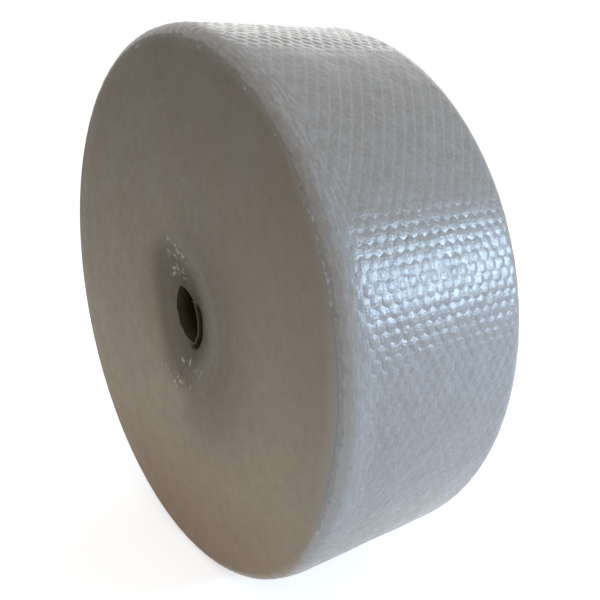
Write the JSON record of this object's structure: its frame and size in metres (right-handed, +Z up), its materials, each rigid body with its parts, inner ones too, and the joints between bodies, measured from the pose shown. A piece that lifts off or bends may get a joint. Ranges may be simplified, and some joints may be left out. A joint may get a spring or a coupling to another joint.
{
  "type": "bubble wrap roll",
  "caption": "Wide coreless roll of bubble cushioning film, wound flat-sided, with a small squeezed hole, rounded shoulders and rows of bubbles across its tread.",
  "frame": {"origin": "on the floor under the middle of the roll, at the centre of its bounding box's underside", "axes": "+Y along the roll's axis, from the pictured end face at -Y to the hidden one; +Z up; the tread seen in the picture faces +X"},
  "size_m": [0.85, 0.305, 0.8445],
  "materials": {
    "bubble_film": "milky translucent polyethylene film, glossy, cool grey on the tread and warmer grey-brown on the wound edges"
  },
  "bodies": {
    "root": {"bubble_wrap_roll": "bubble_film"}
  },
  "joints": []
}
